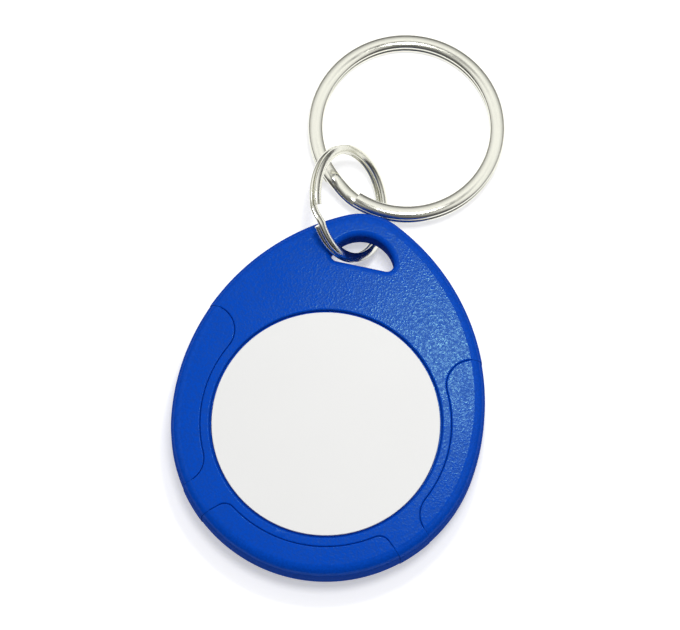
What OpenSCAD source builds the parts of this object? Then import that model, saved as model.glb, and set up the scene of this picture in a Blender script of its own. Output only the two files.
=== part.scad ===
// Contactless fob used as a transit or parking token. Two interlocking moulded shells hold a
// wound antenna and its chip; a small split ring runs through the eye and carries a key ring.
// The origin is on the flat back, under the centre of the face disc. +Y runs to the eye and
// +Z out of the face.

/* [Case] */
// Width of the case across its flanks
case_w = 31.3; // [30:0.1:34]
// Length of the case from its round end to its tip
case_len = 38; // [37:0.1:42]
// Radius of each long flank curve
flank_r = 23; // [21.5:0.1:26]
// Radius of the tip
tip_r = 6; // [5:0.1:7]
// Thickness of the case
case_t = 6; // [5.6:0.1:7]
// Rounding of the front shell's edge at the face
face_round = 1.1; // [0.5:0.1:1.4]
// Rounding of the back shell's edge at the back
back_round = 3; // [1:0.1:3.4]
// Facets of each round edge
round_steps = 7; // [3:1:9]

/* [Shells] */
// Thickness of the back shell's floor, which carries the front shell
floor_t = 1.6; // [1.4:0.1:2]
// Thickness of the floor under the antenna
pocket_floor = 1; // [0.8:0.1:1.2]
// Thickness of the front shell's web under the face disc
web_t = 0.8; // [0.6:0.1:1.2]
// Radius of the antenna pocket
pocket_r = 11.2; // [10.6:0.1:11.6]
// Width of the front shell's ring round the face disc's recess
ring_wall = 1; // [0.7:0.05:1.2]
// Distance of the crown's lower edge from the disc's centre
crown_y = 9.6; // [8.5:0.1:10.5]
// Width of each of the two spokes
spoke_w = 3.6; // [3:0.1:5]
// Angle of the spokes below the X axis
spoke_angle = 42.5; // [38:0.5:50]
// Radius of the panel corners beside the crown and the upper side of the spokes
panel_corner = 2.6; // [1.5:0.1:3]
// Radius of the panel corners at the lower side of the spokes
foot_corner = 1.2; // [0.6:0.1:2]
// Width of the fine gap where the two shells meet on the face
seam = 0.12; // [0.05:0.01:0.2]
// How far the back shell's outline lies inside the front shell's
shell_inset = 0.05; // [0:0.05:0.3]
// Distance of the two crown pins from the crown's lower edge
crown_pin_in = 0.3; // [0.2:0.05:1]
// Diameter of the locating pins
pin_d = 1.4; // [1:0.1:1.6]
// Length of the locating pins in the floor
pin_l = 1; // [0.6:0.1:1.2]
// Clearance all round a locating pin
pin_fit = 0.05; // [0.02:0.01:0.1]

/* [Eye] */
// Width of the strap between the eye and the tip
strap_w = 2.5; // [2.2:0.1:3]
// Thickness of the strap, which is thinner than the case
strap_t = 3.5; // [3:0.1:3.8]
// Radius of the eye's arch
eye_r = 3.45; // [3.2:0.05:3.8]
// Height of the eye from its flat side to the top of its arch
eye_h = 3.1; // [2.9:0.05:3.3]
// Radius of the eye's two corners
eye_corner = 0.7; // [0.4:0.1:1]
// Bevel round the eye on the face and on the underside
eye_lip = 0.5; // [0.2:0.05:0.6]
// Radius of the relief that runs up to the strap's underside
relief_r = 4.2; // [3.6:0.1:6]
// Distance from the top of the eye's arch to where the relief reaches its full height
relief_run = 0.3; // [0.1:0.1:1]

/* [Face disc] */
// Diameter of the face disc
disc_d = 23; // [22:0.1:23.4]
// Thickness of the face disc
disc_t = 0.4; // [0.3:0.05:0.5]
// Thickness of the adhesive layer under the disc
glue_t = 0.1; // [0.05:0.05:0.15]
// Gap round the disc in its recess
disc_gap = 0.15; // [0.05:0.05:0.25]
// Depth of the disc's face below the case's face
disc_sink = 0.1; // [0:0.05:0.2]
// Bevel of the recess's rim
rim_bevel = 0.2; // [0.1:0.05:0.3]

/* [Antenna and chip] */
// Clearance round the antenna winding in its pocket
coil_fit = 0.4; // [0.2:0.1:0.8]
// Radial width of the winding
coil_w = 1.7; // [1:0.1:2.5]
// Height of the winding
coil_h = 1.9; // [1:0.1:2.4]
// Diameter of the enamelled wire
wire_d = 0.2; // [0.1:0.05:0.3]
// Length of the chip board
board_l = 8; // [6:0.1:10]
// Width of the chip board
board_w = 5; // [4:0.1:6]
// Thickness of the chip board
board_t = 0.5; // [0.4:0.1:0.8]
// Distance of the board's centre from the disc's axis
board_off = 4.2; // [2:0.1:5]
// Diameter of the resin cap over the chip
cap_d = 3.4; // [3:0.1:4]
// Height of the resin cap
cap_h = 0.8; // [0.5:0.1:1.2]
// Distance between the two solder joints
pad_pitch = 6; // [5:0.1:7]
// Diameter of a solder joint
solder_d = 1.3; // [1:0.1:1.6]

/* [Link ring] */
// Outer diameter of the link ring
link_d = 12; // [11.8:0.1:13]
// Radial width of the link ring's wire
link_w = 0.95; // [0.8:0.05:1]
// Thickness of the link ring's wire
link_t = 0.55; // [0.45:0.05:0.6]
// Angle of the link ring to the back's plane
link_tilt = 52; // [50:0.5:54]
// Turn of the link ring about the vertical
link_yaw = 9.7; // [8:0.1:11]
// Place along X where the link ring runs through the middle of the eye
link_pass = -1; // [-1.1:0.05:-0.9]
// Gap between the link ring and the eye's flat side
link_gap = 0.24; // [0.2:0.01:0.32]

/* [Key ring] */
// Outer diameter of the key ring
key_d = 20; // [18:0.1:24]
// Radial width of the key ring's wire
key_w = 1.5; // [1.3:0.05:1.7]
// Thickness of the key ring's wire
key_t = 0.85; // [0.7:0.05:0.95]
// Place of the key ring's centre along X
key_x = 1.3; // [1.1:0.1:1.5]
// Gap between the key ring and the tip
key_gap = 0.35; // [0.25:0.01:0.6]
// Gap between the key ring and the link ring's low side, which it lies over
ring_gap = 0.3; // [0.25:0.01:0.5]

/* [Ring winding] */
// Gap between the two coils of a split ring
coil_gap = 0.02; // [0.01:0.01:0.05]
// Half of the angle over which the wire crosses from one coil to the other
half_jog = 11; // [8:1:16]
// Place of the link ring's crossing
link_jog_at = 205; // [190:1:215]
// Place of the key ring's crossing
key_jog_at = 238; // [225:1:250]

/* [Hidden] */
$fn = 64;
eps = 0.01;
case_blue = [0.02, 0.27, 0.70];
disc_white = [0.93, 0.93, 0.92];
nickel = [0.82, 0.81, 0.78];
base_r = case_w / 2;
tip_y = case_len - base_r;
// The flank arc touches the base circle at flank_from and the tip circle at flank_to.
tip_cy = tip_y - tip_r;
flank_k = flank_r - base_r;
flank_from = asin((pow(flank_r - tip_r, 2) - flank_k * flank_k - tip_cy * tip_cy) / (2 * flank_k * tip_cy));
flank_c = [-flank_k * cos(flank_from), -flank_k * sin(flank_from)];
flank_to = atan2(tip_cy - flank_c[1], -flank_c[0]);
eye_top = tip_y - strap_w;
eye_flat = eye_top - eye_h;
eye_cy = eye_top - eye_r;
strap_z = case_t - strap_t;
recess_r = disc_d / 2 + disc_gap;
recess_z = case_t - disc_sink - disc_t - glue_t;
web_z = recess_z - web_t;
ring_r = recess_r + ring_wall;
pin_r = (pocket_r + base_r - back_round / 2) / 2;
crown_pin_turn = asin((crown_y + crown_pin_in + pin_d / 2) / pin_r);
pin_drop = 0.1;
coil_r = pocket_r - coil_fit;
base_facets = 52;
flank_facets = 22;
tip_facets = 8;
link_h = 2 * link_t + coil_gap;
link_mean_r = (link_d - link_w) / 2;
link_z = sin(link_tilt) * link_d / 2 + cos(link_tilt) * link_h / 2;
link_y = eye_flat + link_gap + link_d / 2;
link_x = link_pass - sin(link_yaw) * link_mean_r - (link_z - (case_t + strap_z) / 2) / tan(link_tilt);
link_low_top = sin(link_tilt) * link_w + cos(link_tilt) * link_h;
link_low_y = link_y + sin(link_yaw) * cos(link_tilt) * link_mean_r;
key_h = 2 * key_t + coil_gap;
key_y = tip_y + key_gap + key_d / 2;
key_pitch = asin((link_low_top + ring_gap) / (key_y + key_d / 2 - link_low_y));
key_z = sin(key_pitch) * key_d / 2 + cos(key_pitch) * key_h / 2;

// Points of an arc round c
function arc(c, r, from, to, n) =
    [for (i = [0:n]) let (a = from + (to - from) * i / n) [c[0] + r * cos(a), c[1] + r * sin(a)]];

// The same arc without its last point, where the next arc of an outline starts
function open_arc(c, r, from, to, n) =
    [for (i = [0:n - 1]) let (a = from + (to - from) * i / n) [c[0] + r * cos(a), c[1] + r * sin(a)]];

// A closed solid through rings of points, from the lowest ring to the highest
module loft(rings) {
    m = len(rings[0]);
    last = (len(rings) - 1) * m;
    sides = [for (i = [0:len(rings) - 2], j = [0:m - 1])
        let (k = (j + 1) % m) [i * m + j, i * m + m + j, i * m + m + k, i * m + k]];
    polyhedron([for (r = rings) each r],
               concat(sides, [[for (j = [0:m - 1]) j], [for (j = [m - 1:-1:0]) last + j]]));
}

// ---- Case form ---------------------------------------------------------------------------

// The egg-shaped outline of four touching arcs, moved in by inset
function case_outline(inset) =
    concat(open_arc([0, 0], base_r - inset, -180 - flank_from, flank_from, base_facets),
           open_arc(flank_c, flank_r - inset, flank_from, flank_to, flank_facets),
           open_arc([0, tip_cy], tip_r - inset, flank_to, 180 - flank_to, tip_facets),
           open_arc([-flank_c[0], flank_c[1]], flank_r - inset, 180 - flank_to, 180 - flank_from,
                    flank_facets));

// The case's body with its rounded edges, its whole outline moved in by inset
module case_form(inset = 0)
    loft([for (p = concat(arc([back_round, back_round], back_round, 270, 180, round_steps),
                          arc([face_round, case_t - face_round], face_round, 180, 90, round_steps)))
        [for (q = case_outline(inset + p[0])) [q[0], q[1], p[1]]]]);

// Outline of the D-shaped eye, grown by grow
function eye_outline(grow) =
    let (corner_y = eye_flat + eye_corner,
         corner_x = sqrt(pow(eye_r - eye_corner, 2) - pow(corner_y - eye_cy, 2)),
         turn = atan2(corner_y - eye_cy, corner_x))
    concat(open_arc([corner_x, corner_y], eye_corner + grow, -90, turn, 5),
           open_arc([0, eye_cy], eye_r + grow, turn, 180 - turn, 28),
           arc([-corner_x, corner_y], eye_corner + grow, 180 - turn, 270, 5));

// A solid through the outlines of the eye at the given [height, grow] levels
module eye_funnel(levels)
    loft([for (l = levels) [for (p = eye_outline(l[1])) [p[0], p[1], l[0]]]]);

// The eye, bevelled on the face and on the strap's underside
module eye_cut()
    eye_funnel([[-1, eye_lip + eps], [strap_z - eps, eye_lip + eps], [strap_z + eye_lip, 0],
                [case_t - eye_lip, 0], [case_t + eye_lip, 2 * eye_lip]]);

// The relief that takes the case's back away under the strap
module strap_relief() {
    start = eye_top - relief_run;
    translate([case_w / 2, 0, 0])
        rotate([90, 0, -90])
            linear_extrude(case_w)
                polygon(concat([[-case_len, -1], [-case_len, strap_z]],
                               [for (p = arc([start, strap_z - relief_r], relief_r, 90, 180, 14))
                                   [-p[0], p[1]]]));
}

// ---- Shells ------------------------------------------------------------------------------

// Fills the corner between the circle of radius r and a straight edge at distance h from the
// origin, with a round of radius f that touches both. The edge runs along +X, with solid
// below it. The fill reaches into the circle and below the edge.
module corner_fill(r, h, f) {
    a = sqrt(pow(r + f, 2) - pow(h + f, 2));
    lap = f / 4;
    k = (r - lap) / (r + f);
    corner = sqrt(r * r - h * h);
    difference() {
        polygon([[a, h - lap], [a, h + f], [a * k, (h + f) * k], [corner - lap, h - lap]]);
        translate([a, h + f]) circle(f);
    }
}

// The front shell's part of the face: crown, ring and spokes, grown by grow on every side
module front_plan(grow = 0) {
    reach = case_len;
    half = spoke_w / 2 + grow;
    circle(ring_r + grow, $fn = 96);
    translate([-reach / 2, crown_y - grow]) square([reach, reach]);
    for (side = [0, 1])
        mirror([side, 0, 0]) {
            mirror([0, 1, 0]) corner_fill(ring_r + grow, grow - crown_y, panel_corner - grow);
            rotate([0, 0, -spoke_angle]) {
                translate([0, -half]) square([reach, 2 * half]);
                corner_fill(ring_r + grow, half, panel_corner - grow);
                mirror([0, 1, 0]) corner_fill(ring_r + grow, half, foot_corner - grow);
            }
        }
}

// Places its children at the four locating pins
module at_pins()
    for (side = [0, 1])
        mirror([side, 0, 0]) {
            rotate([0, 0, crown_pin_turn]) translate([pin_r, 0, 0]) children();
            rotate([0, 0, -spoke_angle]) translate([pin_r, 0, 0]) children();
        }

module front_shell()
    color(case_blue) {
        difference() {
            intersection() {
                case_form();
                translate([0, 0, floor_t]) linear_extrude(case_t) front_plan();
            }
            eye_cut();
            strap_relief();
            translate([0, 0, recess_z]) cylinder(r = recess_r, h = case_t, $fn = 96);
            translate([0, 0, case_t - rim_bevel])
                cylinder(r1 = recess_r, r2 = recess_r + 2 * rim_bevel, h = 2 * rim_bevel, $fn = 96);
            translate([0, 0, -1]) cylinder(r = pocket_r, h = web_z + 1, $fn = 96);
        }
        at_pins()
            translate([0, 0, floor_t - pin_l]) cylinder(d = pin_d, h = pin_l + eps, $fn = 32);
    }

module back_shell()
    color(case_blue)
        difference() {
            case_form(shell_inset);
            translate([0, 0, floor_t]) linear_extrude(case_t) front_plan(seam);
            eye_cut();
            strap_relief();
            translate([0, 0, pocket_floor]) cylinder(r = pocket_r, h = case_t, $fn = 96);
            at_pins()
                translate([0, 0, floor_t - pin_l - pin_drop])
                    cylinder(d = pin_d + 2 * pin_fit, h = case_t, $fn = 32);
        }

// ---- Face disc ---------------------------------------------------------------------------

module face_disc()
    color(disc_white)
        translate([0, 0, recess_z + glue_t])
            cylinder(d = disc_d, h = disc_t, $fn = 96);

module disc_adhesive()
    color("gainsboro")
        translate([0, 0, recess_z])
            cylinder(d = disc_d - 2 * disc_gap, h = glue_t, $fn = 96);

// ---- Antenna and chip --------------------------------------------------------------------

// Places its children at the two solder joints on the board
module at_pads()
    for (side = [-1, 1])
        translate([side * pad_pitch / 2, -board_off, pocket_floor + board_t])
            children();

// The self-bonded winding, a rounded bundle of enamelled wire, with its two leads
module antenna_coil()
    color("peru") {
        bundle = coil_h / 4;
        inner = coil_r - coil_w;
        pad_r = norm([pad_pitch / 2, board_off]);
        translate([0, 0, pocket_floor])
            rotate_extrude($fn = 96)
                polygon(concat(arc([inner + coil_w - bundle, bundle], bundle, -90, 0, 4),
                               arc([inner + coil_w - bundle, coil_h - bundle], bundle, 0, 90, 4),
                               arc([inner + bundle, coil_h - bundle], bundle, 90, 180, 4),
                               arc([inner + bundle, bundle], bundle, 180, 270, 4)));
        for (side = [-1, 1])
            translate([side * pad_pitch / 2, -board_off, pocket_floor + board_t + solder_d / 4])
                rotate([0, 0, atan2(-board_off, side * pad_pitch / 2)])
                    rotate([0, 90, 0])
                        cylinder(d = wire_d, h = inner - pad_r + coil_w / 2, $fn = 16);
    }

module chip_board()
    color("darkgreen")
        translate([-board_l / 2, -board_off - board_w / 2, pocket_floor])
            cube([board_l, board_w, board_t]);

// The domed resin cap over the chip: a slice of a sphere with its foot on the board
module chip_cap()
    color("#202020") {
        dome_r = (cap_d * cap_d / 4 + cap_h * cap_h) / (2 * cap_h);
        translate([0, -board_off, pocket_floor + board_t])
            intersection() {
                translate([0, 0, cap_h - dome_r]) sphere(dome_r);
                cylinder(d = cap_d + 1, h = cap_h + 1);
            }
    }

// Two solder domes with the coil's leads running into them
module solder_joints()
    color("lightgray")
        difference() {
            at_pads()
                intersection() {
                    sphere(d = solder_d, $fn = 32);
                    cylinder(d = solder_d + 1, h = solder_d);
                }
            antenna_coil();
        }

// ---- Split rings -------------------------------------------------------------------------

// Level of the wire at angle a of its two turns: -1 on the lower coil and 1 on the upper one
function level(a) =
    let (t = min(1, max(0, (a - 360 + half_jog) / (2 * half_jog))))
    2 * t * t * (3 - 2 * t) - 1;

// Section of the wire: a rectangle w by t with round corners, as [radial, axial] points
function wire_section(w, t) =
    let (r = 0.35 * t)
    concat(arc([w / 2 - r, t / 2 - r], r, 0, 90, 2), arc([r - w / 2, t / 2 - r], r, 90, 180, 2),
           arc([r - w / 2, r - t / 2], r, 180, 270, 2), arc([w / 2 - r, r - t / 2], r, 270, 360, 2));

// A split ring of two turns of wire, with its crossing at angle at. wind is 1 or -1, the
// direction in which the wire climbs.
module split_ring(d, w, t, at, wind, step) {
    section = wire_section(w, t);
    m = len(section);
    turns = 720 - 2 * half_jog;
    n = round(turns / step);
    mean_r = (d - w) / 2;
    rise = (t + coil_gap) / 2;
    points = [for (i = [0:n], s = section)
        let (a = half_jog + turns * i / n, b = at + wind * a)
        [(mean_r + s[0]) * cos(b), (mean_r + s[0]) * sin(b), rise * level(a) + s[1]]];
    sides = [for (i = [0:n - 1], j = [0:m - 1])
        let (p = i * m + j, q = i * m + (j + 1) % m)
        each [[p, p + m, q], [q, p + m, q + m]]];
    caps = [[for (j = [0:m - 1]) j], [for (j = [m - 1:-1:0]) n * m + j]];
    faces = concat(sides, caps);
    polyhedron(points, wind > 0 ? [for (f = faces) [for (k = [len(f) - 1:-1:0]) f[k]]] : faces);
}

module link_ring()
    color(nickel)
        translate([link_x, link_y, link_z])
            rotate([0, 0, link_yaw])
                rotate([0, link_tilt, 0])
                    split_ring(link_d, link_w, link_t, link_jog_at, 1, 8);

module key_ring()
    color(nickel)
        translate([key_x, key_y, key_z])
            rotate([-key_pitch, 0, 0])
                split_ring(key_d, key_w, key_t, key_jog_at, -1, 6);

front_shell();
back_shell();
face_disc();
disc_adhesive();
antenna_coil();
chip_board();
chip_cap();
solder_joints();
link_ring();
key_ring();
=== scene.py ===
"""Contactless key fob: two blue moulded shells, a white face disc, a link ring and a key ring."""

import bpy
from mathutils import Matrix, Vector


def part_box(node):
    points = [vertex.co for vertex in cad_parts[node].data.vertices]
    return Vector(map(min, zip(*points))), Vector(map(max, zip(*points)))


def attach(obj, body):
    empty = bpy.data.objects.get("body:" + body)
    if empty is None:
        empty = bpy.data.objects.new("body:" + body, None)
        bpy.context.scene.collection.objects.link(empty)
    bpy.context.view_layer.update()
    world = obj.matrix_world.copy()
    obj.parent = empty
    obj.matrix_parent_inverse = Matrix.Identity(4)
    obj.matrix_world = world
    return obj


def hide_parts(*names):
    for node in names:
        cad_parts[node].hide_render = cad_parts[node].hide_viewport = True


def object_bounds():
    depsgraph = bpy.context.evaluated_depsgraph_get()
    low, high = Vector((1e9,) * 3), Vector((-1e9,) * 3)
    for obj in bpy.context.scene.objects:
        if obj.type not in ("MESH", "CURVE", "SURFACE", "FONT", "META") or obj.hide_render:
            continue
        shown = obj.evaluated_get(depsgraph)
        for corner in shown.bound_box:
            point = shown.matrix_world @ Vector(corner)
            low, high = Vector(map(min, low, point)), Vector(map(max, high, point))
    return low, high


bl_info = {
    "name": "Contactless key fob",
    "version": (1, 0, 0),
    "blender": (4, 5, 0),
    "location": "View3D > Sidebar > Fob",
    "description": "Builds the shells, face disc and split rings of a contactless key fob",
    "category": "Object",
}

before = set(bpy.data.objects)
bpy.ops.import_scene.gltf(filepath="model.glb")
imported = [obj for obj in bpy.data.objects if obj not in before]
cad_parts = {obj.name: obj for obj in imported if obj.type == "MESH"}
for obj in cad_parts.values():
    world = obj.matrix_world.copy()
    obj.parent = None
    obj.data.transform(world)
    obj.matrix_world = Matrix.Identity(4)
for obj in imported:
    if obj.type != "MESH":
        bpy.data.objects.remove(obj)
CAD_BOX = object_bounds()

import math

import bpy
from bpy.props import FloatProperty, FloatVectorProperty, IntProperty, PointerProperty
from mathutils import Vector

MM = 0.001
UP = (0, 0, 1)
QUARTER = math.pi / 2
# How far a cutter reaches past what it cuts.
OVER = MM
# Points this close are made one while a piece is drawn, and after its cuts.
WELD, CUT_WELD = 0.002 * MM, 0.008 * MM
# Faces this flat to each other are joined after the cuts.
FLAT = math.radians(0.06)
# Edges up to this angle are shaded smoothly: on the case and disc, and on the rings' wire.
SMOOTH, WIRE_SMOOTH = math.radians(40), math.radians(60)
# Edges over this angle are rounded where a width is given.
SHARP = math.radians(35)
# Steps of the arcs and rounded edges from which the pieces are made.
STEPS = {"back_edge": 14, "face_edge": 9, "round_end": 46, "flank": 48, "tip": 18,
         "eye_under": 6, "eye_face": 8, "eye_corner": 10, "eye_arch": 44, "relief": 22,
         "ring_foot": 30, "ring_side": 20, "foot_corner": 8, "panel_corner": 12, "rim": 6,
         "recess": 180, "pocket": 160, "disc": 192, "wire_side": 10, "wire_face": 8,
         "soft_edge": 3, "floor": 96}
# Width of the camera's sensor in millimetres, from which its lens is worked out.
SENSOR = 36

FRONT_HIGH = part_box("front_shell")[1]
DISC_LOW, DISC_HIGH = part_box("face_disc")
LINK_LOW, LINK_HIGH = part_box("link_ring")
KEY_LOW, KEY_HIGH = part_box("key_ring")


def length(name, text, value):
    """A length property with its value in millimetres."""
    return FloatProperty(name=name, description=text, default=value * MM, min=0, precision=5,
                         subtype="DISTANCE", unit="LENGTH")


def turn(name, text, degrees):
    """An angle property with its value in degrees."""
    return FloatProperty(name=name, description=text, default=math.radians(degrees),
                         subtype="ANGLE", unit="ROTATION")


def count(name, text, value):
    """A property that counts steps."""
    return IntProperty(name=name, description=text, default=value, min=6)


def amount(name, text, value):
    """A plain number that is never negative."""
    return FloatProperty(name=name, description=text, default=value, min=0)


def position(name, text, value):
    """A point in space with its value in millimetres."""
    return FloatVectorProperty(name=name, description=text, default=[part * MM for part in value],
                               size=3, precision=5, subtype="TRANSLATION", unit="LENGTH")


def paint(name, text, value):
    """A colour property."""
    return FloatVectorProperty(name=name, description=text, default=value, size=3, min=0, max=1,
                               subtype="COLOR")


class FobCase(bpy.types.PropertyGroup):
    """Sizes of the two shells and the face disc."""
    base_radius: length("Round end", "Radius of the case's round end", 15.65)
    flank_radius: length("Flank", "Radius of each long flank curve", 23)
    tip_radius: length("Tip", "Radius of the tip", 6)
    face_round: length("Face edge", "Rounding of the edge at the face", 1.1)
    back_round: length("Back edge", "Rounding of the edge at the back", 3)
    floor: length("Floor", "Thickness of the back shell's floor", 1.6)
    pocket_floor: length("Pocket floor", "Thickness of the floor under the antenna", 1)
    web: length("Web", "Thickness of the web under the face disc", 0.8)
    pocket_radius: length("Pocket", "Radius of the antenna pocket", 11.2)
    ring_wall: length("Ring wall", "Width of the front shell's ring round the disc", 0.91)
    crown: length("Crown", "Distance of the crown's lower edge from the disc's centre", 9.6)
    spoke: length("Spoke", "Width of each spoke", 3.6)
    spoke_angle: turn("Spoke angle", "Angle of the spokes below the X axis", 42.5)
    panel_corner: length("Panel corner", "Radius of the large panel corners", 2.6)
    foot_corner: length("Foot corner", "Radius of the panel corners below the spokes", 1.2)
    seam: length("Seam", "Width of the fine gap between the shells", 0.03)
    back_inset: length("Back inset", "How far the back shell lies inside the front one", 0.05)
    soft_edge: length("Soft edge", "Rounding of the moulded edges along the seams", 0.14)
    strap: length("Strap", "Width of the strap between the eye and the tip", 2.5)
    strap_thick: length("Strap thickness", "Thickness of the strap", 3.5)
    eye_radius: length("Eye", "Radius of the eye's arch", 3.45)
    eye_height: length("Eye height", "Height of the eye up to the top of its arch", 3.1)
    eye_corner: length("Eye corner", "Radius of the eye's two corners", 0.7)
    eye_lip: length("Eye lip", "Rounding round the eye", 0.6)
    relief: length("Relief", "Radius of the relief under the strap", 4.2)
    relief_run: length("Relief run", "Distance from the arch to the relief's full height", 0.3)
    disc_gap: length("Disc gap", "Gap round the disc in its recess", 0.24)
    rim: length("Rim", "Rounding of the recess's rim", 0.18)
    disc_edge: length("Disc edge", "Softening of the face disc's cut edge", 0.06)


class FobRings(bpy.types.PropertyGroup):
    """Sizes and places of the two split rings."""
    link_size: length("Link ring", "Outer diameter of the link ring", 12)
    link_wide: length("Link wire", "Radial width of the link ring's wire", 0.95)
    link_thick: length("Link wire thickness", "Thickness of the link ring's wire", 0.55)
    link_tilt: turn("Link tilt", "Angle of the link ring to the back's plane", 52)
    link_yaw: turn("Link yaw", "Turn of the link ring about the vertical", 9.7)
    link_cross: turn("Link crossing", "Place where the link ring's wire changes coil", 205)
    key_size: length("Key ring", "Outer diameter of the key ring", 20)
    key_wide: length("Key wire", "Radial width of the key ring's wire", 1.5)
    key_thick: length("Key wire thickness", "Thickness of the key ring's wire", 0.85)
    key_pitch: turn("Key pitch", "Slope of the key ring where it lies over the link ring", 5.21)
    key_cross: turn("Key crossing", "Place where the key ring's wire changes coil", 238)
    crown: turn("Crown", "Slope of the wire's rounded faces where they meet its round sides", 30)
    coil_gap: length("Coil gap", "Gap between the two coils", 0.02)
    crossing: turn("Crossing", "Angle over which the wire changes coil", 22)
    coil_steps: count("Coil steps", "Steps in one coil outside the crossing", 96)
    crossing_steps: count("Crossing steps", "Steps in which the wire changes coil", 14)


class FobFinish(bpy.types.PropertyGroup):
    """Colours of the pieces."""
    blue: paint("Blue", "Moulded plastic of the shells", (0.0012, 0.058, 0.455))
    white: paint("White", "Face disc", (0.83, 0.83, 0.82))
    nickel: paint("Nickel", "Plated steel of the split rings", (0.83, 0.825, 0.73))
    copper: paint("Copper", "Enamelled wire of the antenna", (0.50, 0.17, 0.06))
    board: paint("Board", "Solder mask of the chip board", (0.02, 0.15, 0.05))
    resin: paint("Resin", "Resin over the chip", (0.012, 0.012, 0.013))
    tin: paint("Solder", "Solder joints", (0.62, 0.62, 0.63))
    glue: paint("Adhesive", "Adhesive under the disc", (0.70, 0.69, 0.62))


class FobStudio(bpy.types.PropertyGroup):
    """Camera, lamps and floor."""
    view_turn: turn("View turn", "Turn of the view about the vertical", 12.2)
    view_height: turn("View height", "Angle of the camera above the floor's plane", 76.6)
    distance: length("Distance", "Distance of the camera", 1000)
    frame_width: length("Frame", "Width that the camera takes in", 68.57)
    shift_right: length("Right", "Place of the view's middle to the right of the disc", 1.43)
    shift_up: length("Up", "Place of the view's middle above the disc", 11.22)
    key_power: amount("Key light", "Power of the small near lamp in watts", 0.026)
    key_size: length("Key size", "Diameter of the key lamp", 12)
    key_place: position("Key place", "Place of the key lamp", (6, 37, 126))
    key_aim: position("Key aim", "Point that the key lamp faces", (12, 9, 6))
    fill_power: amount("Fill light", "Power of the overhead lamp in watts", 0.86)
    fill_size: length("Fill size", "Diameter of the fill lamp", 100)
    fill_place: position("Fill place", "Place of the fill lamp", (25, 20, 500))
    fill_aim: position("Fill aim", "Point that the fill lamp faces", (0, 10, 0))
    floor_radius: length("Floor", "Radius of the floor", 500)
    floor_drop: length("Floor drop", "How far the floor lies below the fob's back", 0.02)
    floor_colour: paint("Floor colour", "Colour of the floor", (0.80, 0.80, 0.81))
    floor_lift: amount("Floor lift", "Own light that the floor shows to the eye", 0.43)


# ---- Shaping helpers -------------------------------------------------------------------------


def deselect():
    """Leaves edit mode and selects nothing."""
    if bpy.context.mode != "OBJECT":
        bpy.ops.object.mode_set(mode="OBJECT")
    bpy.ops.object.select_all(action="DESELECT")


def pick(piece):
    """Makes a piece the only selected and active one."""
    deselect()
    piece.select_set(True)
    bpy.context.view_layer.objects.active = piece


def start_line(name, at):
    """A piece of one vertex, in edit mode, from which lines are drawn."""
    deselect()
    bpy.ops.mesh.primitive_plane_add(size=MM, location=(0, 0, 0))
    piece = bpy.context.object
    piece.name = name
    piece.data.name = name
    bpy.ops.object.mode_set(mode="EDIT")
    bpy.ops.mesh.select_all(action="SELECT")
    bpy.ops.mesh.merge(type="CENTER")
    bpy.ops.transform.translate(value=at)
    return piece


def draw(moves, axis):
    """Carries the selection along straight moves and arcs about the axis.

    A move is ("line", way) or ("arc", centre, angle, steps). A positive angle turns
    anticlockwise for an eye that the axis points at. The spin operator turns the other way.
    """
    for move in moves:
        if move[0] == "line":
            bpy.ops.mesh.extrude_region_move(TRANSFORM_OT_translate={"value": move[1]})
        else:
            bpy.ops.mesh.spin(steps=move[3], angle=-move[2], center=move[1], axis=axis)


def close_up(weld=WELD):
    """Joins the ends, fills the open ends and turns all faces outwards."""
    bpy.ops.mesh.select_all(action="SELECT")
    bpy.ops.mesh.remove_doubles(threshold=weld)
    bpy.ops.mesh.select_all(action="DESELECT")
    bpy.ops.mesh.select_non_manifold()
    bpy.ops.mesh.fill_holes(sides=0)
    bpy.ops.mesh.select_all(action="SELECT")
    bpy.ops.mesh.normals_make_consistent(inside=False)
    bpy.ops.object.mode_set(mode="OBJECT")


def prism(name, start, moves, low, high):
    """A closed outline drawn from start, as a solid between two heights."""
    piece = start_line(name, (start[0], start[1], low))
    draw(moves, UP)
    bpy.ops.mesh.select_all(action="SELECT")
    bpy.ops.mesh.remove_doubles(threshold=WELD)
    bpy.ops.mesh.edge_face_add()
    bpy.ops.mesh.extrude_region_move(TRANSFORM_OT_translate={"value": (0, 0, high - low)})
    close_up()
    return piece


def drum(name, radius, low, high, around=STEPS["pocket"]):
    """A cylinder on the disc's axis between two heights."""
    deselect()
    bpy.ops.mesh.primitive_cylinder_add(vertices=around, radius=radius, depth=high - low,
                                        location=(0, 0, (low + high) / 2))
    piece = bpy.context.object
    piece.name = name
    bpy.ops.object.transform_apply(location=True, rotation=True, scale=True)
    return piece


def dish(name, radius, low, top, rim):
    """A round cutter on the disc's axis that leaves a rounded rim at the top."""
    piece = start_line(name, (0, 0, low))
    draw([("line", (radius, 0, 0)),
          ("line", (0, 0, top - rim - low)),
          ("arc", (radius + rim, 0, top - rim), QUARTER, STEPS["rim"]),
          ("line", (0, 0, OVER)),
          ("line", (-radius - rim, 0, 0))], (0, 1, 0))
    bpy.ops.mesh.select_all(action="SELECT")
    draw([("arc", (0, 0, 0), 2 * math.pi, STEPS["recess"])], UP)
    close_up()
    return piece


def combine(piece, other, operation, keep=False):
    """Cuts the other solid from a piece, or leaves what the two share."""
    pick(piece)
    modifier = piece.modifiers.new(operation.title(), "BOOLEAN")
    modifier.operation = operation
    modifier.object = other
    modifier.solver = "EXACT"
    bpy.ops.object.modifier_apply(modifier=modifier.name)
    if not keep:
        bpy.data.objects.remove(other)
    if not piece.data.polygons:
        raise RuntimeError(f"{operation} left nothing of {piece.name}")


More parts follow.
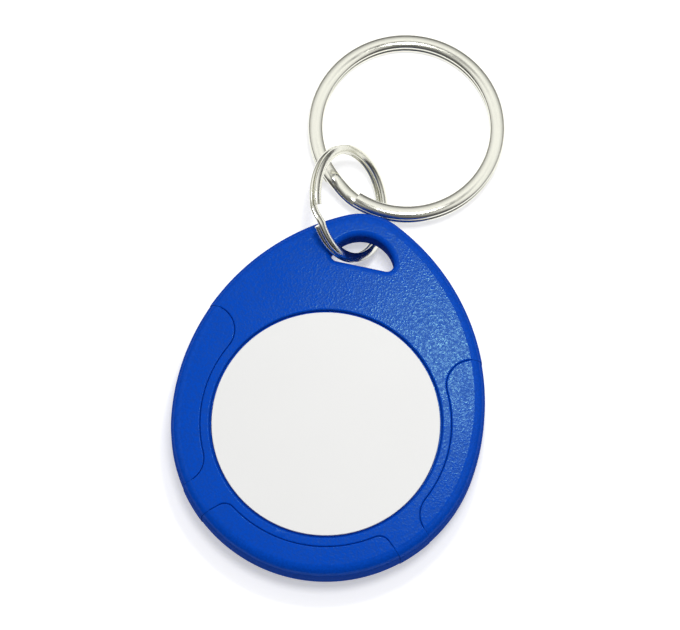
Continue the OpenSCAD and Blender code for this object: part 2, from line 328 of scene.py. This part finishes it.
def clean(piece):
    """Joins close points and flat faces after the cuts."""
    pick(piece)
    bpy.ops.object.mode_set(mode="EDIT")
    bpy.ops.mesh.select_all(action="SELECT")
    bpy.ops.mesh.remove_doubles(threshold=CUT_WELD)
    bpy.ops.mesh.dissolve_limited(angle_limit=FLAT)
    bpy.ops.mesh.select_all(action="DESELECT")
    bpy.ops.object.mode_set(mode="OBJECT")


def break_seams(piece, width):
    """Rounds the flat face's edges where it drops straight into a seam."""
    # A level face's normal rises at least this much, and an upright face's at most this much.
    level, upright = 0.999, 0.05
    pick(piece)
    slopes = {}
    for face in piece.data.polygons:
        for key in face.edge_keys:
            slopes.setdefault(key, []).append(face.normal.z)
    bpy.ops.object.mode_set(mode="EDIT")
    bpy.ops.mesh.select_mode(type="EDGE")
    bpy.ops.mesh.select_all(action="DESELECT")
    bpy.ops.object.mode_set(mode="OBJECT")
    for edge in piece.data.edges:
        found = slopes.get(edge.key, [0])
        edge.select = max(found) > level and min(map(abs, found)) < upright
    bpy.ops.object.mode_set(mode="EDIT")
    bpy.ops.mesh.bevel(offset=width, segments=STEPS["soft_edge"], clamp_overlap=False)
    bpy.ops.mesh.select_mode(type="VERT")
    bpy.ops.object.mode_set(mode="OBJECT")


def soften(piece, smooth=SMOOTH, width=0):
    """Rounds the sharp edges where a width is given, and shades the rest smoothly."""
    pick(piece)
    if width:
        bevel = piece.modifiers.new("Soft edge", "BEVEL")
        bevel.width = width
        bevel.segments = STEPS["soft_edge"]
        bevel.limit_method = "ANGLE"
        bevel.angle_limit = SHARP
        bpy.ops.object.modifier_apply(modifier=bevel.name)
    bpy.ops.object.shade_smooth_by_angle(angle=smooth)
    # Over 50, large faces lead the shading of the edges that they share with small ones.
    weight = piece.modifiers.new("Even shading", "WEIGHTED_NORMAL")
    weight.keep_sharp = True
    weight.weight = 80
    bpy.ops.object.modifier_apply(modifier=weight.name)


# ---- Case form -------------------------------------------------------------------------------


def flank_arc(case, tip_y):
    """Where the flank curve touches the round end and the tip: its centre and two angles."""
    tip_centre = tip_y - case.tip_radius
    offset = case.flank_radius - case.base_radius
    reach = case.flank_radius - case.tip_radius
    first = math.asin((reach ** 2 - offset ** 2 - tip_centre ** 2) / (2 * offset * tip_centre))
    centre = (-offset * math.cos(first), -offset * math.sin(first), 0)
    last = math.atan2(tip_centre - centre[1], -centre[0])
    return centre, first, last


def case_form(name, case, inset):
    """The egg-shaped body: the edge's section, carried round the four arcs of the outline."""
    top = FRONT_HIGH.z
    centre, first, last = flank_arc(case, FRONT_HIGH.y)
    back, face = case.back_round, case.face_round
    edge = -(case.base_radius - inset)
    # The section stops short of the tip's centre, and the rest of the flat faces is filled in.
    inner = edge + 2 * case.tip_radius / 3
    piece = start_line(name, (0, inner, 0))
    draw([("line", (0, edge + back - inner, 0)),
          ("arc", (0, edge + back, back), -QUARTER, STEPS["back_edge"]),
          ("line", (0, 0, top - back - face)),
          ("arc", (0, edge + face, top - face), -QUARTER, STEPS["face_edge"]),
          ("line", (0, inner - edge - face, 0))], (1, 0, 0))
    bpy.ops.mesh.select_all(action="SELECT")
    tip = (0, FRONT_HIGH.y - case.tip_radius, 0)
    half_end = ("arc", (0, 0, 0), QUARTER + first, STEPS["round_end"])
    draw([half_end,
          ("arc", centre, last - first, STEPS["flank"]),
          ("arc", tip, math.pi - 2 * last, STEPS["tip"]),
          ("arc", (-centre[0], centre[1], 0), last - first, STEPS["flank"]),
          half_end], UP)
    close_up()
    return piece


def eye_cutter(case):
    """The D-shaped eye with rounded lips on the face and under the strap."""
    top = FRONT_HIGH.z
    strap = top - case.strap_thick
    arch = FRONT_HIGH.y - case.strap - case.eye_radius
    flat = FRONT_HIGH.y - case.strap - case.eye_height
    corner_y = flat + case.eye_corner
    corner_x = math.sqrt((case.eye_radius - case.eye_corner) ** 2 - (corner_y - arch) ** 2)
    bend = math.atan2(corner_y - arch, corner_x)
    # The section starts a little inside the eye, and the rest of its flat ends is filled in.
    lip, inner = case.eye_lip, 0.5 * MM
    piece = start_line("eye_cutter", (0, flat + inner, -OVER))
    draw([("line", (0, -inner - lip, 0)),
          ("line", (0, 0, strap + OVER)),
          ("arc", (0, flat - lip, strap + lip), QUARTER, STEPS["eye_under"]),
          ("line", (0, 0, top - strap - 2 * lip)),
          ("arc", (0, flat - lip, top - lip), QUARTER, STEPS["eye_face"]),
          ("line", (0, 0, OVER)),
          ("line", (0, lip + inner, 0))], (1, 0, 0))
    bpy.ops.mesh.select_all(action="SELECT")
    draw([("line", (corner_x, 0, 0)),
          ("arc", (corner_x, corner_y, 0), QUARTER + bend, STEPS["eye_corner"]),
          ("arc", (0, arch, 0), math.pi - 2 * bend, STEPS["eye_arch"]),
          ("arc", (-corner_x, corner_y, 0), QUARTER + bend, STEPS["eye_corner"]),
          ("line", (corner_x, 0, 0))], UP)
    close_up()
    return piece


def strap_relief(case):
    """The hollow that thins the case under the strap, a long bar with a round flank."""
    strap = FRONT_HIGH.z - case.strap_thick
    begin = FRONT_HIGH.y - case.strap - case.relief_run
    wide = 2 * case.base_radius
    piece = start_line("strap_relief", (-wide, begin, strap))
    draw([("arc", (-wide, begin, strap - case.relief), QUARTER, STEPS["relief"]),
          ("line", (0, 0, -OVER)),
          ("line", (0, wide, 0)),
          ("line", (0, 0, case.relief + OVER)),
          ("line", (0, -wide + case.relief, 0))], (1, 0, 0))
    bpy.ops.mesh.select_all(action="SELECT")
    bpy.ops.mesh.remove_doubles(threshold=WELD)
    bpy.ops.mesh.edge_face_add()
    bpy.ops.mesh.extrude_region_move(TRANSFORM_OT_translate={"value": (2 * wide, 0, 0)})
    close_up()
    return piece


def front_plan(case, grow, low, high):
    """The front shell's part of the face: ring, crown and two spokes, as a tall solid."""
    ring = DISC_HIGH.x + case.disc_gap + case.ring_wall + grow
    half = case.spoke / 2 + grow
    crown = case.crown - grow
    # The crown and the spokes run out well past the case's outline.
    out = 2.2 * case.base_radius
    foot, corner = case.foot_corner - grow, case.panel_corner - grow

    def corner_at(distance, radius):
        """Where a round's centre lies that touches the ring and an edge at that distance."""
        along = math.sqrt((ring + radius) ** 2 - (distance + radius) ** 2)
        return along, math.atan2(distance + radius, along)

    spoke = -case.spoke_angle
    foot_along, foot_turn = corner_at(half, foot)
    arm_along, arm_turn = corner_at(half, corner)
    crown_along, crown_turn = corner_at(-crown, corner)
    side = Vector((math.cos(spoke), math.sin(spoke), 0))
    across = Vector((-side.y, side.x, 0))
    foot_centre = side * foot_along - across * (half + foot)
    arm_centre = side * arm_along + across * (half + corner)
    crown_centre = Vector((crown_along, crown - corner, 0))
    moves = [("arc", (0, 0, 0), QUARTER + spoke - foot_turn, STEPS["ring_foot"]),
             ("arc", foot_centre, -(QUARTER - foot_turn), STEPS["foot_corner"]),
             ("line", side * (out - foot_along)),
             ("line", across * 2 * half),
             ("line", -side * (out - arm_along)),
             ("arc", arm_centre, -(QUARTER - arm_turn), STEPS["panel_corner"]),
             ("arc", (0, 0, 0), -crown_turn - (spoke + arm_turn), STEPS["ring_side"]),
             ("arc", crown_centre, -(QUARTER - crown_turn), STEPS["panel_corner"]),
             ("line", (out - crown_along, 0, 0)),
             ("line", (0, out, 0)),
             ("line", (-out, 0, 0))]
    # From the middle of the far edge, the same moves lead back in mirror image.
    mirrored = []
    for move in reversed(moves):
        if move[0] == "line":
            mirrored.append(("line", (move[1][0], -move[1][1], 0)))
        else:
            mirrored.append(("arc", (-move[1][0], move[1][1], 0), move[2], move[3]))
    return prism("front_plan", (0, -ring), moves + mirrored, low, high)


def build_shells(case):
    """Both shells, cut from the case form along the seams."""
    top = FRONT_HIGH.z
    recess = DISC_HIGH.x + case.disc_gap
    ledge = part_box("disc_adhesive")[0].z
    front = case_form("front_case", case, 0)
    combine(front, front_plan(case, 0, case.floor, top + OVER), "INTERSECT")
    back = case_form("back_case", case, case.back_inset)
    combine(back, front_plan(case, case.seam, case.floor, top + OVER), "DIFFERENCE")
    eye = eye_cutter(case)
    relief = strap_relief(case)
    for shell in (front, back):
        combine(shell, eye, "DIFFERENCE", keep=True)
        combine(shell, relief, "DIFFERENCE", keep=True)
    for tool in (eye, relief):
        bpy.data.objects.remove(tool)
    combine(front, dish("recess", recess, ledge, top, case.rim), "DIFFERENCE")
    combine(front, drum("pocket", case.pocket_radius, 0, ledge - case.web), "DIFFERENCE")
    combine(back, drum("pocket", case.pocket_radius, case.pocket_floor, top + OVER),
            "DIFFERENCE")
    for shell in (front, back):
        clean(shell)
        break_seams(shell, case.soft_edge)
        soften(shell)
    return front, back


def build_disc(case):
    """The face disc with its softly cut edge."""
    disc = drum("printed_disc", DISC_HIGH.x, DISC_LOW.z, DISC_HIGH.z, STEPS["disc"])
    soften(disc, width=case.disc_edge)
    return disc


# ---- Split rings -----------------------------------------------------------------------------


def split_ring(name, size, wide, thick, rings, cross, wind):
    """Two turns of flattened wire about the origin, lower coil first.

    The wire climbs anticlockwise where wind is 1 and clockwise where it is -1. Its section is
    four arcs that touch: a bowed face above and below and a round side at each end. The faces
    reach half to each side, dip there, and have the radius bow.
    """
    mean = (size - wide) / 2
    rise = thick + rings.coil_gap
    crown = rings.crown
    low, high = -(rise + thick) / 2, (thick - rise) / 2
    middle = (low + high) / 2
    slim = math.tan(math.pi / 4 - crown / 2)
    half = (wide - thick * slim) / 2 / (1 - math.tan(crown / 2) * slim)
    dip = half * math.tan(crown / 2)
    bow = half / math.sin(crown)
    side = (thick / 2 - dip) / math.cos(crown)
    offset = half - side * math.sin(crown)
    piece = start_line(name, (mean + half, 0, low + dip))
    draw([("arc", (mean + offset, 0, middle), 2 * crown - math.pi, STEPS["wire_side"]),
          ("arc", (mean, 0, high - bow), -2 * crown, STEPS["wire_face"]),
          ("arc", (mean - offset, 0, middle), 2 * crown - math.pi, STEPS["wire_side"]),
          ("arc", (mean, 0, low + bow), -2 * crown, STEPS["wire_face"])], (0, 1, 0))
    bpy.ops.mesh.select_all(action="SELECT")
    bpy.ops.mesh.remove_doubles(threshold=WELD / 2)
    coil = ("arc", (0, 0, 0), wind * (2 * math.pi - rings.crossing), rings.coil_steps)
    climb = ("arc", (0, 0, 0), wind * rings.crossing / rings.crossing_steps, 1)
    draw([coil], UP)
    level = 0
    for step in range(1, rings.crossing_steps + 1):
        part = step / rings.crossing_steps
        new = part * part * (3 - 2 * part)
        draw([climb], UP)
        bpy.ops.transform.translate(value=(0, 0, rise * (new - level)))
        level = new
    draw([coil], UP)
    # The two coils nearly touch, so only doubled points are joined.
    close_up(weld=WELD / 20)
    piece.rotation_euler = (0, 0, cross + wind * rings.crossing / 2)
    pick(piece)
    bpy.ops.object.transform_apply(location=True, rotation=True, scale=True)
    soften(piece, smooth=WIRE_SMOOTH)
    return piece


def settle(piece, low, high, tilt):
    """Turns a ring to its slope and puts it in the middle of its CAD node's box."""
    piece.rotation_euler = tilt
    piece.location = (low + high) / 2
    pick(piece)
    bpy.ops.object.transform_apply(location=True, rotation=True, scale=True)


# ---- Finishes --------------------------------------------------------------------------------


def add_node(tree, kind, inputs=None, **settings):
    """A node with its settings and unlinked values."""
    made = tree.nodes.new(kind)
    for key, value in settings.items():
        setattr(made, key, value)
    for key, value in (inputs or {}).items():
        made.inputs[key].default_value = value
    return made


def spread(tree, value, start=0, end=1, low=0, high=1, **settings):
    """A value carried from the span start to end over to the span low to high."""
    made = add_node(tree, "ShaderNodeMapRange", **settings, inputs={
        "From Min": start, "From Max": end, "To Min": low, "To Max": high})
    tree.links.new(value, made.inputs["Value"])
    return made.outputs["Result"]


def gather(tree, operation, values, clamp=False):
    """One value from several, taken together two at a time."""
    total = values[0]
    for value in values[1:]:
        both = add_node(tree, "ShaderNodeMath", operation=operation, use_clamp=clamp)
        tree.links.new(total, both.inputs[0])
        tree.links.new(value, both.inputs[1])
        total = both.outputs["Value"]
    return total


def round_axis(tree, vector):
    """Distance from the Z axis and height, as the X and Y of a new vector."""
    split = add_node(tree, "ShaderNodeSeparateXYZ")
    tree.links.new(vector, split.inputs["Vector"])
    flat = add_node(tree, "ShaderNodeCombineXYZ")
    tree.links.new(split.outputs["X"], flat.inputs["X"])
    tree.links.new(split.outputs["Y"], flat.inputs["Y"])
    radius = add_node(tree, "ShaderNodeVectorMath", operation="LENGTH")
    tree.links.new(flat.outputs["Vector"], radius.inputs[0])
    made = add_node(tree, "ShaderNodeCombineXYZ")
    tree.links.new(radius.outputs["Value"], made.inputs["X"])
    tree.links.new(split.outputs["Z"], made.inputs["Y"])
    return made.outputs["Vector"]


def make_group(name, inputs, outputs):
    """An empty node group with named sockets, and its two end nodes."""
    tree = bpy.data.node_groups.new(name, "ShaderNodeTree")
    for label, kind, value in inputs:
        socket = tree.interface.new_socket(label, in_out="INPUT", socket_type=kind)
        if value is not None:
            socket.default_value = value
    for label, kind in outputs:
        tree.interface.new_socket(label, in_out="OUTPUT", socket_type=kind)
    return tree, tree.nodes.new("NodeGroupInput"), tree.nodes.new("NodeGroupOutput")


def grain_group():
    """Spark-eroded mould texture: fine pits as a height, and flecks that catch the light."""
    if "moulded_grain" in bpy.data.node_groups:
        return bpy.data.node_groups["moulded_grain"]
    tree, start, end = make_group(
        "moulded_grain",
        [("Vector", "NodeSocketVector", None), ("Grain", "NodeSocketFloat", 4000.0)],
        [("Height", "NodeSocketFloat"), ("Fleck", "NodeSocketFloat")])
    link = tree.links.new
    fine = add_node(tree, "ShaderNodeTexNoise", inputs={"Detail": 1.0, "Roughness": 0.6})
    pits = add_node(tree, "ShaderNodeTexVoronoi", feature="F1")
    link(start.outputs["Vector"], fine.inputs["Vector"])
    link(start.outputs["Vector"], pits.inputs["Vector"])
    link(start.outputs["Grain"], fine.inputs["Scale"])
    link(start.outputs["Grain"], pits.inputs["Scale"])
    mix = add_node(tree, "ShaderNodeMix", data_type="FLOAT", inputs={"Factor": 0.4})
    link(fine.outputs["Fac"], mix.inputs["A"])
    link(pits.outputs["Distance"], mix.inputs["B"])
    link(mix.outputs["Result"], end.inputs["Height"])
    link(spread(tree, fine.outputs["Fac"], 0.36, 0.64), end.inputs["Fleck"])
    return tree


def smudge_group():
    """Slow, cloudy change over a surface, for handling marks and uneven moulding."""
    if "handling" in bpy.data.node_groups:
        return bpy.data.node_groups["handling"]
    tree, start, end = make_group(
        "handling",
        [("Vector", "NodeSocketVector", None), ("Scale", "NodeSocketFloat", 200.0),
         ("Low", "NodeSocketFloat", 0.0), ("High", "NodeSocketFloat", 1.0)],
        [("Value", "NodeSocketFloat")])
    link = tree.links.new
    cloud = add_node(tree, "ShaderNodeTexNoise", inputs={"Detail": 4.0, "Roughness": 0.55})
    link(start.outputs["Vector"], cloud.inputs["Vector"])
    link(start.outputs["Scale"], cloud.inputs["Scale"])
    scaled = add_node(tree, "ShaderNodeMapRange", inputs={"From Min": 0.3, "From Max": 0.7})
    link(cloud.outputs["Fac"], scaled.inputs["Value"])
    link(start.outputs["Low"], scaled.inputs["To Min"])
    link(start.outputs["High"], scaled.inputs["To Max"])
    link(scaled.outputs["Result"], end.inputs["Value"])
    return tree


def new_material(name):
    """A material with its Principled shader and an Object coordinate."""
    material = bpy.data.materials.new(name)
    material.use_nodes = True
    tree = material.node_tree
    shader = tree.nodes["Principled BSDF"]
    where = add_node(tree, "ShaderNodeTexCoord")
    return material, tree, shader, where.outputs["Object"]


def use_group(tree, group, vector, inputs=None):
    """A node group placed in a material."""
    made = add_node(tree, "ShaderNodeGroup", node_tree=group, inputs=inputs)
    tree.links.new(vector, made.inputs["Vector"])
    return made


def tint(tree, shader, factor, low, high):
    """Base colour that moves between two colours with a mask."""
    mix = add_node(tree, "ShaderNodeMix", data_type="RGBA")
    mix.inputs["A"].default_value = (*low, 1)
    mix.inputs["B"].default_value = (*high, 1)
    tree.links.new(factor, mix.inputs["Factor"])
    tree.links.new(mix.outputs["Result"], shader.inputs["Base Color"])


def bump(tree, shader, height, strength, distance):
    """Feeds a height to the shader's normal."""
    made = add_node(tree, "ShaderNodeBump", inputs={"Strength": strength, "Distance": distance})
    tree.links.new(height, made.inputs["Height"])
    tree.links.new(made.outputs["Normal"], shader.inputs["Normal"])


def shade(colour, factor):
    """A lighter or darker colour."""
    return tuple(min(1, part * factor) for part in colour)


def moulded_blue(finish):
    """Blue plastic with a spark-eroded grain: a soft gloss from above, matt at a slant."""
    material, tree, shader, where = new_material("moulded_blue")
    grain = use_group(tree, grain_group(), where, {"Grain": 4600.0})
    wear = use_group(tree, smudge_group(), where, {"Scale": 260.0, "Low": 0.12, "High": 0.16})
    tint(tree, shader, grain.outputs["Fleck"], shade(finish.blue, 0.92), shade(finish.blue, 1.12))
    shader.inputs["Specular IOR Level"].default_value = 0.13
    shader.inputs["Specular Tint"].default_value = (0.50, 1.0, 0.60, 1)
    facing = add_node(tree, "ShaderNodeLayerWeight")
    matt = spread(tree, facing.outputs["Facing"], 0.3, 0.6, high=0.85)
    spots = spread(tree, grain.outputs["Fleck"], low=0.13, high=0)
    rough = gather(tree, "ADD", (wear.outputs["Value"], matt, spots), clamp=True)
    tree.links.new(rough, shader.inputs["Roughness"])
    bump(tree, shader, grain.outputs["Height"], strength=1.0, distance=0.013 * MM)
    return material


def disc_white(finish):
    """White printed plastic, nearly smooth."""
    material, tree, shader, where = new_material("disc_white")
    grain = use_group(tree, grain_group(), where, {"Grain": 5200.0})
    cloud = use_group(tree, smudge_group(), where, {"Scale": 90.0})
    tint(tree, shader, cloud.outputs["Value"], shade(finish.white, 0.985), finish.white)
    shader.inputs["Roughness"].default_value = 0.45
    bump(tree, shader, grain.outputs["Height"], strength=0.08, distance=0.02 * MM)
    return material


def bright_nickel(name, finish, low, high, tilt):
    """Bright plated wire with faint drawing marks that run round the ring."""
    material, tree, shader, where = new_material(name)
    move = add_node(tree, "ShaderNodeMapping", vector_type="TEXTURE",
                    inputs={"Location": (low + high) / 2, "Rotation": tilt})
    tree.links.new(where, move.inputs["Vector"])
    drawn = add_node(tree, "ShaderNodeTexNoise", inputs={"Scale": 9000.0, "Detail": 2.0})
    tree.links.new(round_axis(tree, move.outputs["Vector"]), drawn.inputs["Vector"])
    cloud = use_group(tree, smudge_group(), where, {"Scale": 500.0, "Low": 0.13, "High": 0.24})
    tree.links.new(cloud.outputs["Value"], shader.inputs["Roughness"])
    tint(tree, shader, drawn.outputs["Fac"], shade(finish.nickel, 0.94), finish.nickel)
    shader.inputs["Metallic"].default_value = 1
    bump(tree, shader, drawn.outputs["Fac"], strength=0.25, distance=0.01 * MM)
    return material


def plain_finish(name, colour, roughness, grain_scale, depth, metallic=0):
    """A finish for the pieces inside, with a fine grain and slow colour change."""
    material, tree, shader, where = new_material(name)
    grain = use_group(tree, grain_group(), where, {"Grain": grain_scale})
    cloud = use_group(tree, smudge_group(), where, {"Scale": 900.0})
    tint(tree, shader, cloud.outputs["Value"], shade(colour, 0.85), colour)
    shader.inputs["Roughness"].default_value = roughness
    shader.inputs["Metallic"].default_value = metallic
    bump(tree, shader, grain.outputs["Height"], strength=depth, distance=0.02 * MM)
    return material


def wound_copper(finish):
    """Enamelled wire laid round and round: fine rings by radius and height, darker towards the
    gaps between turns as painted shade.
    """
    material, tree, shader, where = new_material("wound_copper")
    turns_and_shade = add_node(tree, "ShaderNodeTexVoronoi", feature="F1",
                     inputs={"Scale": 9000.0, "Randomness": 0.25})
    tree.links.new(round_axis(tree, where), turns_and_shade.inputs["Vector"])
    # The base colour darkens to about a third towards the edges of each turn: painted shade in
    # the gaps between the windings.
    tint(tree, shader, turns_and_shade.outputs["Distance"], finish.copper, shade(finish.copper, 0.35))
    shader.inputs["Metallic"].default_value = 0.7
    shader.inputs["Roughness"].default_value = 0.3
    bump(tree, shader, turns_and_shade.outputs["Distance"], strength=-0.6, distance=0.05 * MM)
    return material


def dress(piece, material):
    """Gives a piece its only material."""
    piece.data.materials.clear()
    piece.data.materials.append(material)


# ---- Stage -----------------------------------------------------------------------------------


def seen_directly(tree):
    """1 where a ray comes from the camera, a mirror or glass."""
    path = add_node(tree, "ShaderNodeLightPath")
    return gather(tree, "MAXIMUM", [path.outputs[f"Is {kind} Ray"]
                                    for kind in ("Camera", "Glossy", "Transmission")])


def floor_material(studio):
    """White floor that stays white to the eye and keeps the object's shadow."""
    material = bpy.data.materials.new("white_floor")
    material.use_nodes = True
    tree = material.node_tree
    shader = tree.nodes["Principled BSDF"]
    shader.inputs["Base Color"].default_value = (*studio.floor_colour, 1)
    shader.inputs["Roughness"].default_value = 0.9
    shader.inputs["Specular IOR Level"].default_value = 0.1
    shader.inputs["Emission Color"].default_value = (1, 1, 1, 1)
    lift = spread(tree, seen_directly(tree), high=studio.floor_lift)
    tree.links.new(lift, shader.inputs["Emission Strength"])
    return material


def build_floor(studio):
    """A wide, flat, round floor just under the fob."""
    deselect()
    level = min(0, CAD_BOX[0].z) - studio.floor_drop
    bpy.ops.mesh.primitive_circle_add(vertices=STEPS["floor"], radius=studio.floor_radius,
                                      fill_type="NGON", location=(0, 0, level))
    floor = bpy.context.object
    floor.name = "floor"
    bpy.ops.object.transform_apply(location=True, rotation=True, scale=True)
    floor.data.materials.append(floor_material(studio))
    return floor


def build_world():
    """Light from all round and above, and white to the eye.

    It is dim near the horizon, overhead, where the flat face would mirror it and turn pale, and
    in front, where it puts dark streaks on the rings.
    """
    world = bpy.data.worlds.new("studio_air")
    bpy.context.scene.world = world
    world.use_nodes = True
    tree = world.node_tree
    where = add_node(tree, "ShaderNodeTexCoord")
    split = add_node(tree, "ShaderNodeSeparateXYZ")
    tree.links.new(where.outputs["Generated"], split.inputs["Vector"])
    # Part of the light's direction, where a change in it starts and ends, and its power there.
    horizon = ("Z", 0.05, 0.92, 0.05, 1.14)
    overhead = ("Z", 0.93, 0.965, 1, 0.15)
    front = ("Y", -0.45, -0.05, 0.1, 1)
    air = gather(tree, "MULTIPLY", [
        spread(tree, split.outputs[part], *change, interpolation_type="SMOOTHSTEP")
        for part, *change in (horizon, overhead, front)])
    path = add_node(tree, "ShaderNodeLightPath")
    power = add_node(tree, "ShaderNodeMix", data_type="FLOAT", inputs={"B": 1.0})
    tree.links.new(path.outputs["Is Camera Ray"], power.inputs["Factor"])
    tree.links.new(air, power.inputs["A"])
    background = tree.nodes["Background"]
    background.inputs["Color"].default_value = (1, 1, 1, 1)
    tree.links.new(power.outputs["Result"], background.inputs["Strength"])


def add_lamp(name, power, size, place, aim):
    """A round lamp that faces a point."""
    deselect()
    bpy.ops.object.light_add(type="AREA", location=place)
    lamp = bpy.context.object
    lamp.name = name
    lamp.data.energy = power
    lamp.data.shape = "DISK"
    lamp.data.size = size
    lamp.rotation_euler = (Vector(aim) - Vector(place)).to_track_quat("-Z", "Y").to_euler()
    return lamp


def add_camera(studio):
    """The camera, high above the face and turned about the vertical."""
    turn_by, high = studio.view_turn, studio.view_height
    right = Vector((math.cos(turn_by), math.sin(turn_by), 0))
    ahead = Vector((-math.sin(turn_by), math.cos(turn_by), 0))
    away = -ahead * math.cos(high) + Vector(UP) * math.sin(high)
    aim = Vector((0, 0, DISC_HIGH.z)) + right * studio.shift_right + ahead * studio.shift_up
    deselect()
    bpy.ops.object.camera_add(location=aim + away * studio.distance)
    camera = bpy.context.object
    camera.name = "camera"
    camera.rotation_euler = (-away).to_track_quat("-Z", "Y").to_euler()
    camera.data.sensor_width = SENSOR
    camera.data.lens = SENSOR * studio.distance / studio.frame_width
    camera.data.clip_start = 0.01
    camera.data.clip_end = 20
    bpy.context.scene.camera = camera


# ---- Operators -------------------------------------------------------------------------------


class FOB_OT_stage(bpy.types.Operator):
    """Adds the floor, the lamps, the world and the camera"""
    bl_idname = "fob.add_stage"
    bl_label = "Stage"

    def execute(self, context):
        studio = context.scene.fob_studio
        context.scene.view_settings.view_transform = "Standard"
        build_floor(studio)
        build_world()
        add_lamp("key_lamp", studio.key_power, studio.key_size, studio.key_place, studio.key_aim)
        fill = add_lamp("fill_lamp", studio.fill_power, studio.fill_size, studio.fill_place,
                        studio.fill_aim)
        fill.visible_glossy = False
        add_camera(studio)
        return {"FINISHED"}


class FOB_OT_shells(bpy.types.Operator):
    """Adds the front and back shells of the case"""
    bl_idname = "fob.add_shells"
    bl_label = "Shells"

    def execute(self, context):
        blue = moulded_blue(context.scene.fob_finish)
        front, back = build_shells(context.scene.fob_case)
        for shell, node in ((front, "front_shell"), (back, "back_shell")):
            dress(shell, blue)
            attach(shell, "case")
            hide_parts(node)
        return {"FINISHED"}


class FOB_OT_disc(bpy.types.Operator):
    """Adds the white face disc"""
    bl_idname = "fob.add_disc"
    bl_label = "Face disc"

    def execute(self, context):
        disc = build_disc(context.scene.fob_case)
        dress(disc, disc_white(context.scene.fob_finish))
        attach(disc, "case")
        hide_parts("face_disc")
        return {"FINISHED"}


class FOB_OT_rings(bpy.types.Operator):
    """Adds the link ring and the key ring"""
    bl_idname = "fob.add_rings"
    bl_label = "Split rings"

    def execute(self, context):
        rings, finish = context.scene.fob_rings, context.scene.fob_finish
        link_tilt = (0, rings.link_tilt, rings.link_yaw)
        link = split_ring("link_coil", rings.link_size, rings.link_wide, rings.link_thick,
                          rings, rings.link_cross, wind=1)
        settle(link, LINK_LOW, LINK_HIGH, link_tilt)
        dress(link, bright_nickel("nickel_link", finish, LINK_LOW, LINK_HIGH, link_tilt))
        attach(link, "link")
        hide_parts("link_ring")
        key_tilt = (-rings.key_pitch, 0, 0)
        key = split_ring("key_coil", rings.key_size, rings.key_wide, rings.key_thick,
                         rings, rings.key_cross, wind=-1)
        settle(key, KEY_LOW, KEY_HIGH, key_tilt)
        dress(key, bright_nickel("nickel_key", finish, KEY_LOW, KEY_HIGH, key_tilt))
        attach(key, "keyring")
        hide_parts("key_ring")
        return {"FINISHED"}


class FOB_OT_inside(bpy.types.Operator):
    """Finishes the antenna, the chip board and the adhesive inside the case"""
    bl_idname = "fob.finish_inside"
    bl_label = "Inside"

    def execute(self, context):
        finish = context.scene.fob_finish
        board = plain_finish("board_green", finish.board, roughness=0.35,
                             grain_scale=9000.0, depth=0.2)
        resin = plain_finish("resin_black", finish.resin, roughness=0.25,
                             grain_scale=3000.0, depth=0.1)
        solder = plain_finish("bright_solder", finish.tin, roughness=0.3,
                              grain_scale=6000.0, depth=0.3, metallic=1)
        adhesive = plain_finish("clear_adhesive", finish.glue, roughness=0.55,
                                grain_scale=2500.0, depth=0.2)
        inside = {
            "antenna_coil": (wound_copper(finish), "enamelled_copper"),
            "chip_board": (board, "board_green"),
            "chip_cap": (resin, "resin_black"),
            "solder_joints": (solder, "solder"),
            "disc_adhesive": (adhesive, "adhesive"),
        }
        for node, (material, slot_name) in inside.items():
            dress(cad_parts[node], material)
        return {"FINISHED"}


class FOB_PT_panel(bpy.types.Panel):
    """Buttons for the fob's pieces"""
    bl_label = "Contactless key fob"
    bl_idname = "FOB_PT_panel"
    bl_space_type = "VIEW_3D"
    bl_region_type = "UI"
    bl_category = "Fob"

    def draw(self, context):
        for operator in PIECES:
            self.layout.operator(operator.bl_idname)


GROUPS = {"fob_case": FobCase, "fob_rings": FobRings, "fob_finish": FobFinish,
          "fob_studio": FobStudio}
PIECES = (FOB_OT_stage, FOB_OT_shells, FOB_OT_disc, FOB_OT_rings, FOB_OT_inside)


def register():
    """Registers the classes and gives the scene its properties."""
    for kind in (*GROUPS.values(), *PIECES, FOB_PT_panel):
        bpy.utils.register_class(kind)
    for name, group in GROUPS.items():
        setattr(bpy.types.Scene, name, PointerProperty(type=group))


def unregister():
    """Takes the scene's properties and the classes away again."""
    for name in GROUPS:
        delattr(bpy.types.Scene, name)
    for kind in (FOB_PT_panel, *reversed(PIECES), *reversed(GROUPS.values())):
        bpy.utils.unregister_class(kind)


def main():
    """Builds the whole fob."""
    register()
    bpy.ops.fob.add_stage()
    bpy.ops.fob.add_shells()
    bpy.ops.fob.add_disc()
    bpy.ops.fob.add_rings()
    bpy.ops.fob.finish_inside()
    deselect()


if __name__ == "__main__":
    main()
